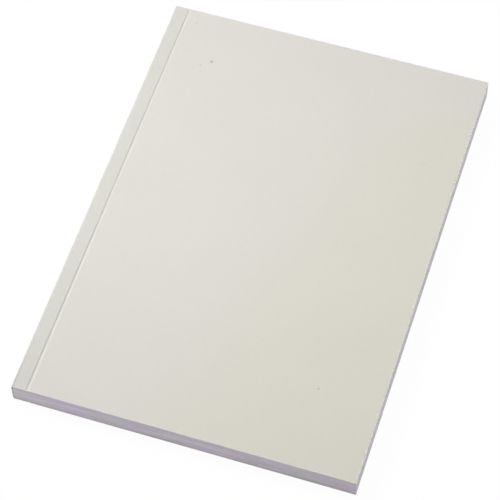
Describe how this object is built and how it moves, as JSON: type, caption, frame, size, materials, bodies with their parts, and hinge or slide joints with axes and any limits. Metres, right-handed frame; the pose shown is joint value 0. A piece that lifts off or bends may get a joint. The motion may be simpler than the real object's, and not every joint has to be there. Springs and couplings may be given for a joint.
{
  "type": "softcover notebook",
  "caption": "Perfect-bound softcover notebook with a plain card cover that opens along a pressed crease on each side.",
  "frame": {"origin": "middle of the underside, which is the outer face of the back cover", "axes": "+X from the spine to the fore edge, +Y from the tail to the head, +Z from the back cover to the front cover"},
  "size_m": [0.148, 0.21, 0.0098],
  "materials": {
    "leaves": "uncoated writing paper, cut edges",
    "glue": "hot-melt adhesive",
    "cover_card": "uncoated ivory card, fine fibre"
  },
  "bodies": {
    "block": {"page_block": "leaves", "spine_glue": "glue", "spine_wrap": "cover_card"},
    "front_cover": {"front_cover": "cover_card"},
    "back_cover": {"back_cover": "cover_card"}
  },
  "joints": [
    {"name": "front_hinge", "type": "hinge", "parent": "block", "child": "front_cover", "pos_m": [-0.0673, 0, 0.00982], "axis": [0, -1, 0], "range_deg": [0, 175]},
    {"name": "back_hinge", "type": "hinge", "parent": "block", "child": "back_cover", "pos_m": [-0.0673, 0, 0], "axis": [0, 1, 0], "range_deg": [0, 175]}
  ]
}
